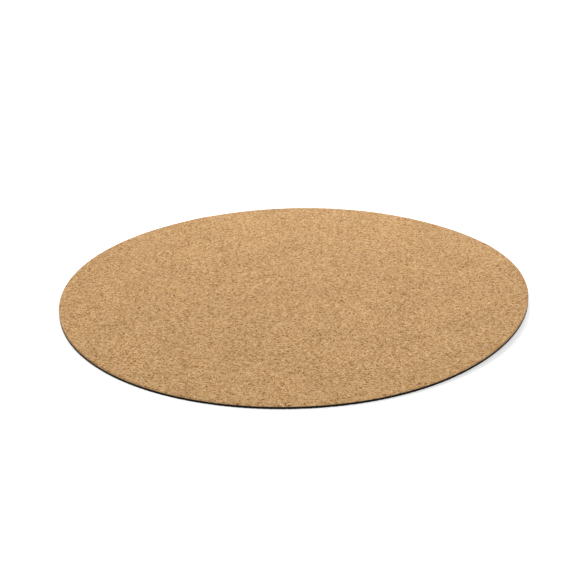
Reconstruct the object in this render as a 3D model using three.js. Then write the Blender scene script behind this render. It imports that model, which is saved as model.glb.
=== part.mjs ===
// Round cork mouse pad: a thin sheet of agglomerated cork, a film of glue and a black rubber
// base, laminated and then die-cut together, so that all three end in one cut edge. The pad
// lies on the desk along a flat strip, and its left and right edges have curled up a little,
// as a thin laminate's do. Millimetres, +Z up, +X to the right, origin on the desk under the
// middle of the pad.
import * as THREE from "three";

// Driving sizes
const padRadius = 100;
const baseThickness = 1;
const glueThickness = 0.1;
const corkThickness = 0.9;

// The die drags the cork's upper edge down and leaves the rubber's lower edge almost sharp.
const corkEdgeRadius = 0.2;
const baseEdgeRadius = 0.1;

// The curl: the flat strip's half width, and how far each edge stands off the desk.
const flatHalfWidth = 30;
const leftEdgeLift = 1;
const rightEdgeLift = 2.3;

// Number of flats round the rim, and fineness of the edges' arcs
const rimFlats = 128;
const arcDivisions = 1;

// How far the pad stands off the desk at a place across it. A sheet with a set curl lies
// straight where its own weight holds it down and bends more towards its free edge. The share
// runs from 0 at the flat strip to 1 at the edge.
function liftAt(x) {
  const share = Math.max(0, Math.abs(x) - flatHalfWidth) / (padRadius - flatHalfWidth);
  const edgeLift = x > 0 ? rightEdgeLift : leftEdgeLift;
  return (edgeLift * (4 * share ** 3 - share ** 4)) / 3;
}

// Corners of a sheet's outline at one radius and height, counter-clockwise from the right.
// Its flats touch the circle, and one of them faces each way along X and along Y.
function outline(radius, height) {
  const halfFlat = Math.PI / rimFlats;
  const cornerRadius = radius / Math.cos(halfFlat);
  return Array.from({ length: rimFlats }, (unused, corner) => {
    const angle = halfFlat * (2 * corner + 1);
    const x = cornerRadius * Math.cos(angle);
    const y = cornerRadius * Math.sin(angle);
    return new THREE.Vector3(x, y, height + liftAt(x));
  });
}

// Section of a sheet's cut edge from its underside up to its top: radius from the pad's middle
// and height above the underside.
function edgeSection(thickness, lowerEdgeRadius, upperEdgeRadius) {
  const quarterTurn = Math.PI / 2;
  const lowerCentre = padRadius - lowerEdgeRadius;
  const upperCentre = padRadius - upperEdgeRadius;
  const section = new THREE.Path();
  section.absarc(lowerCentre, lowerEdgeRadius, lowerEdgeRadius, -quarterTurn, 0);
  section.absarc(upperCentre, thickness - upperEdgeRadius, upperEdgeRadius, 0, quarterTurn);
  return section.getPoints(arcDivisions);
}

// A round sheet that follows the curl. Its top and underside are strips that run straight
// from the front of the rim to the back, so that stacked sheets meet face to face.
function curledSheet(bottom, section) {
  const outlines = section.map(({ x, y }) => outline(x, bottom + y));
  const top = (outlines.length - 1) * rimFlats;
  const faces = [];
  const addQuad = (a, b, c, d) => faces.push(a, b, c, a, c, d);

  for (let lower = 0; lower < top; lower += rimFlats) {
    const upper = lower + rimFlats;
    for (let corner = 0; corner < rimFlats; corner++) {
      const next = (corner + 1) % rimFlats;
      addQuad(lower + corner, lower + next, upper + next, upper + corner);
    }
  }
  for (let behind = 1; behind < rimFlats / 2; behind++) {
    const inFront = rimFlats - 1 - behind;
    addQuad(behind - 1, inFront + 1, inFront, behind);
    addQuad(top + behind - 1, top + behind, top + inFront, top + inFront + 1);
  }

  const geometry = new THREE.BufferGeometry().setFromPoints(outlines.flat()).setIndex(faces);
  geometry.computeVertexNormals();
  return geometry;
}

function layer(name, geometry, finish) {
  const material = new THREE.MeshStandardMaterial({ ...finish, metalness: 0, flatShading: true });
  const mesh = new THREE.Mesh(geometry, material);
  mesh.name = name;
  return mesh;
}

function rubberBase() {
  const section = edgeSection(baseThickness, baseEdgeRadius, 0);
  return layer("rubber_base", curledSheet(0, section), { color: "#171615", roughness: 0.7 });
}

function glueFilm() {
  const section = edgeSection(glueThickness, 0, 0);
  const sheet = curledSheet(baseThickness, section);
  return layer("glue_film", sheet, { color: "#8c7a62", roughness: 0.35 });
}

function corkSheet() {
  const section = edgeSection(corkThickness, 0, corkEdgeRadius);
  const sheet = curledSheet(baseThickness + glueThickness, section);
  return layer("cork_sheet", sheet, { color: "#c49b6f", roughness: 0.9 });
}

const mousePad = new THREE.Group();
mousePad.add(rubberBase(), glueFilm(), corkSheet());

export default mousePad;
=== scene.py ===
import math

import bpy
from mathutils import Euler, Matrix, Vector


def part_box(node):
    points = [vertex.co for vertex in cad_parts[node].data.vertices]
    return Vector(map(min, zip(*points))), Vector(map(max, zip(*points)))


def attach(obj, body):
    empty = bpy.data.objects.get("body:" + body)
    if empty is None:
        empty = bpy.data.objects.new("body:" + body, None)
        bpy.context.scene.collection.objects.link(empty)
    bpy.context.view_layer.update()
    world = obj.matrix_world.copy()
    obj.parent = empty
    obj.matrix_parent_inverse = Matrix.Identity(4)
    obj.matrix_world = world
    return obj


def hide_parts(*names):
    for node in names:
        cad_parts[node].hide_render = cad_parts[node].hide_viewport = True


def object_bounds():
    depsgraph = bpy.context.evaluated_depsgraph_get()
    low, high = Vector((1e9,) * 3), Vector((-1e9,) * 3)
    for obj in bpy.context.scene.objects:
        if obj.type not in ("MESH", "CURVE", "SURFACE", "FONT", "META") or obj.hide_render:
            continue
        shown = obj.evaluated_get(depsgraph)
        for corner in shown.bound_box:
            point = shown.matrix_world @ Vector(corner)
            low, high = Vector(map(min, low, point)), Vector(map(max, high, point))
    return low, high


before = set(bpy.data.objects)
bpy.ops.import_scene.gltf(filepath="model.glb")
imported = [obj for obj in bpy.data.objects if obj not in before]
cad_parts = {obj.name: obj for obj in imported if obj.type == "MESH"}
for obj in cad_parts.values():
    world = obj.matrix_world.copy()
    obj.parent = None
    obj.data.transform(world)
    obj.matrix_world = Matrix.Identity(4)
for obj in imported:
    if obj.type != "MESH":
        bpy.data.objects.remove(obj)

# Round cork mouse pad: cork on a film of glue on black rubber, die-cut together.
# Metres, +Z up, the camera stands in front (-Y) and a little to the right.

mm = 0.001
white = (1, 1, 1, 1)
scene = bpy.context.scene
scene.view_settings.view_transform = 'Standard'
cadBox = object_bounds()

# The curl and the levels of the layers where the pad lies flat
pad = {
    "radius": cadBox[1].x,
    "flatHalfWidth": 30 * mm,
    "leftLift": 1.0 * mm,
    "rightLift": 2.3 * mm,
    "glueZ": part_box("glue_film")[0].z,
    "corkZ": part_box("cork_sheet")[0].z,
    "faceZ": 2.0 * mm,
}


# Modelling helpers

def selectNothing():
    if bpy.context.object and bpy.context.object.mode != 'OBJECT':
        bpy.ops.object.mode_set(mode='OBJECT')
    bpy.ops.object.select_all(action='DESELECT')


def namePiece(name):
    # names what was just added and puts its place into its mesh
    bpy.ops.object.transform_apply()
    piece = bpy.context.object
    piece.name = name
    piece.data.name = name
    return piece


def pickFaces(piece, test):
    # leaves edit mode with the faces that pass the test selected
    bpy.ops.object.mode_set(mode='EDIT')
    bpy.ops.mesh.select_mode(type='FACE')
    bpy.ops.mesh.select_all(action='DESELECT')
    bpy.ops.object.mode_set(mode='OBJECT')
    for face in piece.data.polygons:
        face.select = test(face)
    bpy.ops.object.mode_set(mode='EDIT')


def pickEdges(piece, test):
    bpy.ops.object.mode_set(mode='EDIT')
    bpy.ops.mesh.select_mode(type='EDGE')
    bpy.ops.mesh.select_all(action='DESELECT')
    bpy.ops.object.mode_set(mode='OBJECT')
    points = piece.data.vertices
    for edge in piece.data.edges:
        edge.select = test(*[points[index].co for index in edge.vertices])
    bpy.ops.object.mode_set(mode='EDIT')


def onRim(point, radius, slack=0.2 * mm):
    return abs(math.hypot(point.x, point.y) - radius) < slack


def setWeights(piece, name, weightAt):
    group = piece.vertex_groups.new(name=name)
    for point in piece.data.vertices:
        group.add([point.index], weightAt(point.co), 'REPLACE')
    return group.name


def applyModifier(piece, kind, **values):
    modifier = piece.modifiers.new(kind.title(), kind)
    for key, value in values.items():
        setattr(modifier, key, value)
    bpy.context.view_layer.objects.active = piece
    bpy.ops.object.modifier_apply(modifier=modifier.name)


def curlShare(point):
    # how high this point lifts, as a share of the right edge's lift
    span = pad["radius"] - pad["flatHalfWidth"]
    share = max(0, abs(point.x) - pad["flatHalfWidth"]) / span
    edgeLift = pad["rightLift"] if point.x > 0 else pad["leftLift"]
    return edgeLift / pad["rightLift"] * (4 * share ** 3 - share ** 4) / 3


def curlUp(piece):
    weights = setWeights(piece, "curl", curlShare)
    applyModifier(piece, 'DISPLACE', direction='Z', mid_level=0, strength=pad["rightLift"],
                  vertex_group=weights)


def roughen(piece, name, size, height, weights):
    clouds = bpy.data.textures.new(name, 'CLOUDS')
    clouds.noise_scale = size
    applyModifier(piece, 'DISPLACE', texture=clouds, texture_coords='LOCAL',
                  direction='NORMAL', mid_level=0.5, strength=height, vertex_group=weights)


def addRoundSheet(name, sizes, radius, bottom, top):
    selectNothing()
    bpy.ops.mesh.primitive_circle_add(vertices=sizes["rimPoints"], radius=radius,
                                      location=(0, 0, (bottom + top) / 2))
    sheet = namePiece(name)
    bpy.ops.object.mode_set(mode='EDIT')
    bpy.ops.mesh.fill_grid(span=sizes["gridSpan"])
    bpy.ops.object.mode_set(mode='OBJECT')
    applyModifier(sheet, 'SOLIDIFY', thickness=top - bottom, offset=0)
    bpy.ops.object.mode_set(mode='EDIT')
    bpy.ops.mesh.select_all(action='SELECT')
    bpy.ops.mesh.normals_make_consistent(inside=False)
    bpy.ops.object.mode_set(mode='OBJECT')
    return sheet


def finishPiece(piece, node, material, smoothAngle):
    curlUp(piece)
    bpy.ops.object.shade_smooth_by_angle(angle=smoothAngle)
    piece.vertex_groups.clear()
    piece.data.materials.append(material)
    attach(piece, "root")
    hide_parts(node)
    selectNothing()
    print(piece.name, len(piece.data.polygons), "faces")


# Node helpers

def newMaterial(name):
    material = bpy.data.materials.new(name)
    material.use_nodes = True
    material.node_tree.nodes.clear()
    return material, material.node_tree


def addNode(tree, kind, place, inputs=None, **settings):
    # each input is linked where it is given another node's output, and otherwise set
    node = tree.nodes.new('ShaderNode' + kind)
    node.location = place
    for key, value in settings.items():
        setattr(node, key, value)
    for key, value in (inputs or {}).items():
        if isinstance(value, bpy.types.NodeSocket):
            tree.links.new(value, node.inputs[key])
        else:
            node.inputs[key].default_value = value
    return node


def addRange(tree, place, value, into, outOf=(0, 1)):
    # stretches one range over another and holds the value inside it
    node = addNode(tree, 'MapRange', place, {
        "Value": value, "From Min": outOf[0], "From Max": outOf[1],
        "To Min": into[0], "To Max": into[1]})
    return node.outputs["Result"]


def addRamp(tree, place, factor, stops):
    # a stop's colour may be one number for a grey
    node = addNode(tree, 'ValToRGB', place, {"Fac": factor})
    elements = node.color_ramp.elements
    while len(elements) < len(stops):
        elements.new(1)
    for element, (position, colour) in zip(elements, stops):
        element.position = position
        if isinstance(colour, (int, float)):
            colour = (colour, colour, colour)
        element.color = (*colour, 1)
    return node.outputs["Color"]


def mixColours(tree, place, factor, first, second):
    # a Mix node has sockets for every kind of data, and 6 and 7 are its two colours
    node = addNode(tree, 'Mix', place, {0: factor, 6: first, 7: second}, data_type='RGBA')
    return node.outputs[2]


def scaleVector(tree, place, vector, scale):
    node = addNode(tree, 'VectorMath', place, {0: vector, 3: scale}, operation='SCALE')
    return node.outputs[0]


def addOutput(tree, place, surface, kind='OutputMaterial'):
    addNode(tree, kind, place, {"Surface": surface.outputs[0]})


def addSurface(tree, place, finish, tone, grain, height):
    # the grain sets how rough it is at each spot, and the height makes its bumps
    x, y = place
    rough = addRange(tree, (x - 300, y - 300), grain, finish["roughness"])
    bump = addNode(tree, 'Bump', (x - 300, y - 600), {
        "Strength": finish["bumpStrength"], "Distance": finish["bumpDepth"], "Height": height})
    shader = addNode(tree, 'BsdfPrincipled', place, {
        "Base Color": tone, "Roughness": rough, "Normal": bump.outputs[0],
        "Specular IOR Level": finish["shine"]})
    addOutput(tree, (x + 300, y), shader)


# Camera, as the photograph was taken

camera = {
    "lens": 100,
    "sensorWidth": 36,
    "aim": Vector((-1.14, 5.26, 0)) * mm,
    "azimuth": math.radians(8.97),
    "elevation": math.radians(24.69),
    "distance": 699.1 * mm,
    "roll": math.radians(-1.57),
}


def makeCamera():
    azimuth, elevation = camera["azimuth"], camera["elevation"]
    place = camera["distance"] * Vector((
        math.cos(elevation) * math.sin(azimuth),
        -math.cos(elevation) * math.cos(azimuth),
        math.sin(elevation)))
    looking = (camera["aim"] - place).to_track_quat('-Z', 'Y').to_matrix()
    turn = looking @ Euler((0, 0, camera["roll"])).to_matrix()
    bpy.ops.object.camera_add(location=place, rotation=turn.to_euler())
    eye = bpy.context.object
    eye.name = "camera"
    eye.data.lens = camera["lens"]
    eye.data.sensor_width = camera["sensorWidth"]
    scene.camera = eye


makeCamera()
print("camera set")


# Studio: a white floor, a big soft light high behind on the left, a low one close behind the
# pad that lights its back a little more, and a weak one in front

studio = {
    "floorSize": 6,
    "floorDrop": 0.02 * mm,
    "floorColour": (0.9, 0.9, 0.9, 1),
    "paperGlow": 0.44,  # the camera sees the floor this much lighter, so only the shadow is left
    "glowReach": (0.25, 0.6),  # between these distances the floor goes over to plain white
    "ambient": 0.235,  # the light from all round
    "keyPlace": (-0.630, 0.493, 1.386),
    "keySize": 1.09,
    "keyPower": 13.0,
    "backPlace": (0.04, 0.345, 0.21),
    "backSize": 0.35,
    "backPower": 0.94,
    "fillPlace": (0.5, -1.35, 0.5),
    "fillSize": 1.0,
    "fillPower": 14.0,
}


def seenRays(tree, place):
    # 1 for what the camera sees, also in a reflection or through glass
    path = addNode(tree, 'LightPath', place)
    first = addNode(tree, 'Math', (place[0] + 180, place[1]), {
        0: path.outputs["Is Camera Ray"], 1: path.outputs["Is Glossy Ray"]}, operation='MAXIMUM')
    both = addNode(tree, 'Math', (place[0] + 360, place[1]), {
        0: first.outputs[0], 1: path.outputs["Is Transmission Ray"]}, operation='MAXIMUM')
    return both.outputs[0]


def makeFloor():
    selectNothing()
    bpy.ops.mesh.primitive_plane_add(size=studio["floorSize"],
                                     location=(0, 0, -studio["floorDrop"]))
    floor = namePiece("floor")
    material, tree = newMaterial("white_floor")
    coords = addNode(tree, 'TexCoord', (-1000, 300))
    away = addNode(tree, 'VectorMath', (-800, 300), {0: coords.outputs["Object"]},
                   operation='LENGTH')
    glowHere = addRange(tree, (-600, 300), away.outputs["Value"], (studio["paperGlow"], 1),
                        studio["glowReach"])
    lit = addNode(tree, 'BsdfDiffuse', (-400, 0), {"Color": studio["floorColour"]})
    shaded = addNode(tree, 'BsdfDiffuse', (-400, 150), {"Color": white})
    glow = addNode(tree, 'Emission', (-400, 300), {"Color": white, "Strength": glowHere})
    seen = addNode(tree, 'AddShader', (-200, 200), {0: shaded.outputs[0], 1: glow.outputs[0]})
    surface = addNode(tree, 'MixShader', (100, 0), {
        0: seenRays(tree, (-600, 500)), 1: lit.outputs[0], 2: seen.outputs[0]})
    addOutput(tree, (400, 0), surface)
    floor.data.materials.append(material)


def makeWorld():
    world = bpy.data.worlds.new("studio")
    scene.world = world
    world.use_nodes = True
    tree = world.node_tree
    tree.nodes.clear()
    around = addNode(tree, 'Background', (0, 0), {
        "Color": white, "Strength": studio["ambient"]})
    backdrop = addNode(tree, 'Background', (0, 150), {"Color": white, "Strength": 1})
    surface = addNode(tree, 'MixShader', (200, 0), {
        0: seenRays(tree, (-400, 300)), 1: around.outputs[0], 2: backdrop.outputs[0]})
    addOutput(tree, (400, 0), surface, 'OutputWorld')


def addLight(name, place, size, power):
    # every lamp is aimed at the pad's middle
    turn = (-Vector(place)).to_track_quat('-Z', 'Y')
    bpy.ops.object.light_add(type='AREA', location=place, rotation=turn.to_euler())
    lamp = bpy.context.object
    lamp.name = name
    lamp.data.shape = 'SQUARE'
    lamp.data.size = size
    lamp.data.energy = power


makeFloor()
makeWorld()
addLight("key", studio["keyPlace"], studio["keySize"], studio["keyPower"])
addLight("back", studio["backPlace"], studio["backSize"], studio["backPower"])
addLight("fill", studio["fillPlace"], studio["fillSize"], studio["fillPower"])
print("studio set")


# Cork sheet. The grain's granules, crumbs, bends, bark bits, patches and cells are counted per
# millimetre.

corkSheet = {
    "rimPoints": 256,
    "gridSpan": 64,
    "cuts": 3,
    "edgeRadius": 0.2 * mm,
    "edgeSegments": 2,
    "smoothAngle": math.radians(40),
    "reliefHeight": 0.05 * mm,
    "reliefSize": 2.2 * mm,
    "chipHeight": 0.07 * mm,
    "chipSize": 0.9 * mm,
    "chipReach": 0.3 * mm,  # how far in from the rim it is crumbly
    "gluedHeight": 0.05 * mm,  # how much of the cut stays whole, beside the glue

    "granules": 1.4,
    "granuleColours": [
        (0.00, (0.245, 0.098, 0.017)),
        (0.10, (0.405, 0.204, 0.058)),
        (0.36, (0.594, 0.350, 0.149)),
        (0.82, (0.692, 0.441, 0.221)),
        (1.00, (0.828, 0.574, 0.329)),
    ],
    "crumbs": 2.7,
    "crumbCover": [(0.40, 0.10), (0.70, 0.75)],  # how much of the granule's tone a crumb hides
    "crumbColours": [
        (0.00, (0.220, 0.087, 0.015)),
        (0.18, (0.400, 0.206, 0.061)),
        (0.46, (0.584, 0.352, 0.154)),
        (0.82, (0.709, 0.460, 0.237)),
        (1.00, (0.853, 0.601, 0.351)),
    ],
    "bends": 1.6,
    "bendReach": 0.7,
    "seamCover": [(0.0, 0.55), (0.11, 0.0)],  # by the distance from the seam
    "seamColour": (0.330, 0.160, 0.047, 1),
    "barkBits": 1.7,
    "barkShare": 0.14,
    "barkTrim": (0.02, 0.20),  # how much of its cell a bit leaves free, from big to small
    "barkSoftness": (-0.02, 0.05),
    "barkCover": 0.9,
    "barkColour": (0.130, 0.044, 0.008, 1),
    "patches": 0.045,
    "patchTones": (0.95, 1.05),
    "cells": 5.5,
    "cellTones": (0.90, 1.11),
    "cutPoresAndPaintedShade": 0.84,  # the cut edge's brightness beside the face's: partly its open pores, partly painted shade for the less light on the sides
    "gluedCover": 0.8,
    "gluedColour": (0.380, 0.260, 0.140, 1),

    "dents": [(0.0, 0.0), (0.22, 1.0)],  # the height by the distance from the seam
    "cellHeight": 0.7,  # beside the height of a granule over its seams
    "bumpDepth": 0.05 * mm,
    "bumpStrength": 0.5,
    "roughness": (0.82, 0.96),
    "shine": 0.15,
}


def corkMaterial():
    material, tree = newMaterial("cork")
    coords = addNode(tree, 'TexCoord', (-2200, 0))
    inMm = scaleVector(tree, (-2000, 0), coords.outputs["Object"], 1 / mm)

    # granules are crushed together, so their outlines wander
    wander = addNode(tree, 'TexNoise', (-1800, -200), {
        "Vector": inMm, "Scale": corkSheet["bends"], "Detail": 2})
    centred = addNode(tree, 'VectorMath', (-1600, -200), {
        0: wander.outputs["Color"], 1: (0.5, 0.5, 0.5)}, operation='SUBTRACT')
    offset = scaleVector(tree, (-1450, -200), centred.outputs[0], corkSheet["bendReach"])
    crushed = addNode(tree, 'VectorMath', (-1300, 0), {0: inMm, 1: offset},
                      operation='ADD').outputs[0]

    granules = addNode(tree, 'TexVoronoi', (-1100, 300), {
        "Vector": crushed, "Scale": corkSheet["granules"]})
    seams = addNode(tree, 'TexVoronoi', (-1100, 0), {
        "Vector": crushed, "Scale": corkSheet["granules"]}, feature='DISTANCE_TO_EDGE')
    crumbs = addNode(tree, 'TexVoronoi', (-1100, -300), {
        "Vector": crushed, "Scale": corkSheet["crumbs"]})
    pick = addNode(tree, 'SeparateColor', (-900, 300), {"Color": granules.outputs["Color"]})
    crumbPick = addNode(tree, 'SeparateColor', (-900, -300), {"Color": crumbs.outputs["Color"]})

    granuleTone = addRamp(tree, (-700, 300), pick.outputs[0], corkSheet["granuleColours"])
    crumbTone = addRamp(tree, (-700, 0), crumbPick.outputs[0], corkSheet["crumbColours"])
    crumbMask = addRamp(tree, (-700, -300), crumbPick.outputs[1], corkSheet["crumbCover"])
    tone = mixColours(tree, (-400, 300), crumbMask, granuleTone, crumbTone)

    # the binder in the seams is a little darker
    seamMask = addRamp(tree, (-700, -500), seams.outputs["Distance"], corkSheet["seamCover"])
    tone = mixColours(tree, (-200, 300), seamMask, tone, corkSheet["seamColour"])

    # bits of bark, angular and of all sizes
    bark = addNode(tree, 'TexVoronoi', (-1100, -600), {
        "Vector": crushed, "Scale": corkSheet["barkBits"]})
    barkEdge = addNode(tree, 'TexVoronoi', (-1100, -900), {
        "Vector": crushed, "Scale": corkSheet["barkBits"]}, feature='DISTANCE_TO_EDGE')
    barkPick = addNode(tree, 'SeparateColor', (-900, -600), {"Color": bark.outputs["Color"]})
    isBark = addNode(tree, 'Math', (-700, -650), {
        0: barkPick.outputs[0], 1: 1 - corkSheet["barkShare"]}, operation='GREATER_THAN')
    trim = addRange(tree, (-700, -800), barkPick.outputs[1], corkSheet["barkTrim"])
    inside = addNode(tree, 'Math', (-550, -900), {
        0: barkEdge.outputs["Distance"], 1: trim}, operation='SUBTRACT')
    barkCore = addRange(tree, (-400, -900), inside.outputs[0], (0, corkSheet["barkCover"]),
                        corkSheet["barkSoftness"])
    barkMask = addNode(tree, 'Math', (-250, -700), {0: isBark.outputs[0], 1: barkCore},
                       operation='MULTIPLY')
    tone = mixColours(tree, (0, 300), barkMask.outputs[0], tone, corkSheet["barkColour"])

    # the sheet's own slow change of tone, and the cells inside the granules: noise keeps to
    # the middle of its range
    patches = addNode(tree, 'TexNoise', (-1100, -1200), {
        "Vector": inMm, "Scale": corkSheet["patches"], "Detail": 2})
    patchTone = addRange(tree, (-700, -1200), patches.outputs["Fac"], corkSheet["patchTones"],
                         (0.3, 0.7))
    cells = addNode(tree, 'TexNoise', (-1100, -1500), {
        "Vector": inMm, "Scale": corkSheet["cells"], "Detail": 3})
    cellTone = addRange(tree, (-700, -1500), cells.outputs["Fac"], corkSheet["cellTones"],
                        (0.25, 0.75))
    shade = addNode(tree, 'Math', (-400, -1200), {0: patchTone, 1: cellTone},
                    operation='MULTIPLY')
    tone = scaleVector(tree, (150, 300), tone, shade.outputs[0])

    # what faces sideways is the cut, darker partly for its open pores and partly as painted
    # shade for the less light that falls on the sides, and what faces down is soaked with glue:
    # each comes in over a range of the normal's Z
    facing = addNode(tree, 'SeparateXYZ', (-200, 600), {0: coords.outputs["Normal"]})
    cutPoresAndShadeTone = addRange(tree, (0, 900), facing.outputs["Z"], (corkSheet["cutPoresAndPaintedShade"], 1),
                       (0.3, 0.9))
    tone = scaleVector(tree, (150, 750), tone, cutPoresAndShadeTone)
    soaked = addRange(tree, (0, 600), facing.outputs["Z"], (corkSheet["gluedCover"], 0),
                      (-0.9, -0.6))
    tone = mixColours(tree, (250, 500), soaked, tone, corkSheet["gluedColour"])

    # torn cells give the sanded face a fine tooth
    dents = addRamp(tree, (-400, -400), seams.outputs["Distance"], corkSheet["dents"])
    tooth = addNode(tree, 'Math', (-100, -500), {
        0: cells.outputs["Fac"], 1: corkSheet["cellHeight"], 2: dents}, operation='MULTIPLY_ADD')
    addSurface(tree, (500, 300), corkSheet, tone, cells.outputs["Fac"], tooth.outputs[0])
    return material


def layOutMap(sheet):
    # for baked copies: the face as large as it goes, the cut edge unrolled in four strips
    # below it and the hidden underside small in a corner, all in shares of the map's side
    radius = pad["radius"]
    faceMiddle, scale = Vector((0.5, 0.525)), 0.47 / radius
    underMiddle, underScale = Vector((0.085, 0.915)), 0.08 / radius
    stripStart, stripStep, stripStretch = 0.004, 0.013, 2
    flat = 0.7  # what faces up or down by more than this isn't part of the cut
    quarter = math.tau / 4
    places = sheet.data.uv_layers.new(name="OFBake").data
    points, loops = sheet.data.vertices, sheet.data.loops
    for face in sheet.data.polygons:
        strip = math.atan2(face.center.y, face.center.x) % math.tau // quarter
        for index in face.loop_indices:
            point = points[loops[index].vertex_index].co
            if face.normal.z > flat:
                places[index].uv = faceMiddle + point.xy * scale
            elif face.normal.z < -flat:
                places[index].uv = underMiddle + point.xy * underScale
            else:
                # the turn from the middle of the strip, between minus and plus half a turn
                turn = math.atan2(point.y, point.x) - (strip + 0.5) * quarter
                turn = (turn + math.pi) % math.tau - math.pi
                height = (point.z - pad["corkZ"]) * scale * stripStretch
                places[index].uv = (
                    0.5 + turn * radius * scale, stripStart + strip * stripStep + height)


def makeCorkSheet():
    radius, bottom, top = pad["radius"], pad["corkZ"], pad["faceZ"]
    middleZ, gluedZ = (bottom + top) / 2, bottom + corkSheet["gluedHeight"]
    sheet = addRoundSheet("cork_face_sheet", corkSheet, radius, bottom, top)

    # the die drags the upper edge down
    pickEdges(sheet, lambda a, b: (
        min(a.z, b.z) > middleZ and onRim(a, radius) and onRim(b, radius)))
    bpy.ops.mesh.bevel(offset=corkSheet["edgeRadius"], segments=corkSheet["edgeSegments"])
    pickFaces(sheet, lambda face: face.center.z > gluedZ)
    bpy.ops.mesh.subdivide(number_cuts=corkSheet["cuts"])
    bpy.ops.object.mode_set(mode='OBJECT')
    layOutMap(sheet)

    # sanded face and crumbly cut
    faceWeights = setWeights(sheet, "face", lambda point: float(point.z > middleZ))
    roughen(sheet, "sanding", corkSheet["reliefSize"], corkSheet["reliefHeight"], faceWeights)
    rimWeights = setWeights(sheet, "rim", lambda point: float(
        onRim(point, radius, corkSheet["chipReach"]) and point.z > gluedZ))
    roughen(sheet, "chips", corkSheet["chipSize"], corkSheet["chipHeight"], rimWeights)
    finishPiece(sheet, "cork_sheet", corkMaterial(), corkSheet["smoothAngle"])


makeCorkSheet()


# Glue film

glueFilm = {
    "rimPoints": 256,
    "gridSpan": 64,
    "recess": 0.06 * mm,
    "smoothAngle": math.radians(40),
    "patches": 0.35,  # per millimetre
    "colours": [(0.3, (0.20, 0.150, 0.095)), (0.7, (0.32, 0.240, 0.150))],
    "roughness": (0.3, 0.5),
    "bumpDepth": 0.03 * mm,
    "bumpStrength": 0.3,
    "shine": 0.4,
}


def glueMaterial():
    material, tree = newMaterial("glue")
    coords = addNode(tree, 'TexCoord', (-1000, 0))
    inMm = scaleVector(tree, (-800, 0), coords.outputs["Object"], 1 / mm)
    patches = addNode(tree, 'TexNoise', (-600, 0), {
        "Vector": inMm, "Scale": glueFilm["patches"], "Detail": 4}).outputs["Fac"]
    tone = addRamp(tree, (-400, 0), patches, glueFilm["colours"])
    addSurface(tree, (0, 0), glueFilm, tone, patches, patches)
    return material


def makeGlueFilm():
    radius = pad["radius"] - glueFilm["recess"]
    film = addRoundSheet("glue_bond", glueFilm, radius, pad["glueZ"], pad["corkZ"])
    finishPiece(film, "glue_film", glueMaterial(), glueFilm["smoothAngle"])


makeGlueFilm()


# Rubber base

rubberBase = {
    "cells": 84,
    "cellSize": 2.4 * mm,
    "grooveHalfWidth": 0.25 * mm,
    "landHeight": 0.12 * mm,
    "landSlope": 0.1 * mm,
    "rimPoints": 512,
    "edgeRadius": 0.1 * mm,
    "dieHeight": 2 * mm,
    "smoothAngle": math.radians(30),
    "pores": 4,  # per millimetre, as the patches are
    "patches": 0.12,
    "colours": [(0.3, (0.0024, 0.0022, 0.0020)), (0.7, (0.0050, 0.0046, 0.0043))],
    "roughness": (0.55, 0.8),
    "bumpDepth": 0.03 * mm,
    "bumpStrength": 0.4,
    "shine": 0.08,
}


def rubberMaterial():
    material, tree = newMaterial("rubber")
    coords = addNode(tree, 'TexCoord', (-1000, 0))
    inMm = scaleVector(tree, (-800, 0), coords.outputs["Object"], 1 / mm)
    pores = addNode(tree, 'TexNoise', (-600, -300), {
        "Vector": inMm, "Scale": rubberBase["pores"], "Detail": 3}).outputs["Fac"]
    patches = addNode(tree, 'TexNoise', (-600, 0), {
        "Vector": inMm, "Scale": rubberBase["patches"], "Detail": 5}).outputs["Fac"]
    tone = addRamp(tree, (-400, 0), patches, rubberBase["colours"])
    addSurface(tree, (0, 0), rubberBase, tone, pores, pores)
    return material


def makeRubberBase():
    selectNothing()
    radius, step = pad["radius"], rubberBase["cellSize"]
    count, land = rubberBase["cells"], rubberBase["landHeight"]
    bpy.ops.mesh.primitive_grid_add(x_subdivisions=count, y_subdivisions=count,
                                    size=count * step, location=(0, 0, land))
    base = namePiece("rubber_underside_sheet")
    bpy.ops.object.mode_set(mode='EDIT')
    bpy.ops.mesh.extrude_region_move(
        TRANSFORM_OT_translate={"value": (0, 0, pad["glueZ"] - land)})
    bpy.ops.mesh.select_all(action='SELECT')
    bpy.ops.mesh.normals_make_consistent(inside=False)

    # lands of the anti-slip pattern, on what faces down
    pickFaces(base, lambda face: face.normal.z < -0.9)
    bpy.ops.mesh.inset(thickness=rubberBase["grooveHalfWidth"], depth=0, use_individual=True)
    bpy.ops.mesh.inset(thickness=rubberBase["landSlope"], depth=land, use_individual=True)
    bpy.ops.object.mode_set(mode='OBJECT')

    # the die cuts the sheet round and, as its own bevelled end lies just below the desk,
    # takes the sharpness off the lower edge
    selectNothing()
    dieHeight, below = rubberBase["dieHeight"], rubberBase["edgeRadius"]
    bpy.ops.mesh.primitive_cylinder_add(vertices=rubberBase["rimPoints"], radius=radius,
                                        depth=dieHeight,
                                        location=(0, 0, dieHeight / 2 - below))
    die = namePiece("die")
    pickEdges(die, lambda a, b: max(a.z, b.z) < 0 and onRim(a, radius) and onRim(b, radius))
    bpy.ops.mesh.bevel(offset=2 * below)
    bpy.ops.object.mode_set(mode='OBJECT')
    selectNothing()
    applyModifier(base, 'BOOLEAN', operation='INTERSECT', solver='EXACT', object=die)
    bpy.data.objects.remove(die)
    base.select_set(True)
    finishPiece(base, "rubber_base", rubberMaterial(), rubberBase["smoothAngle"])


makeRubberBase()
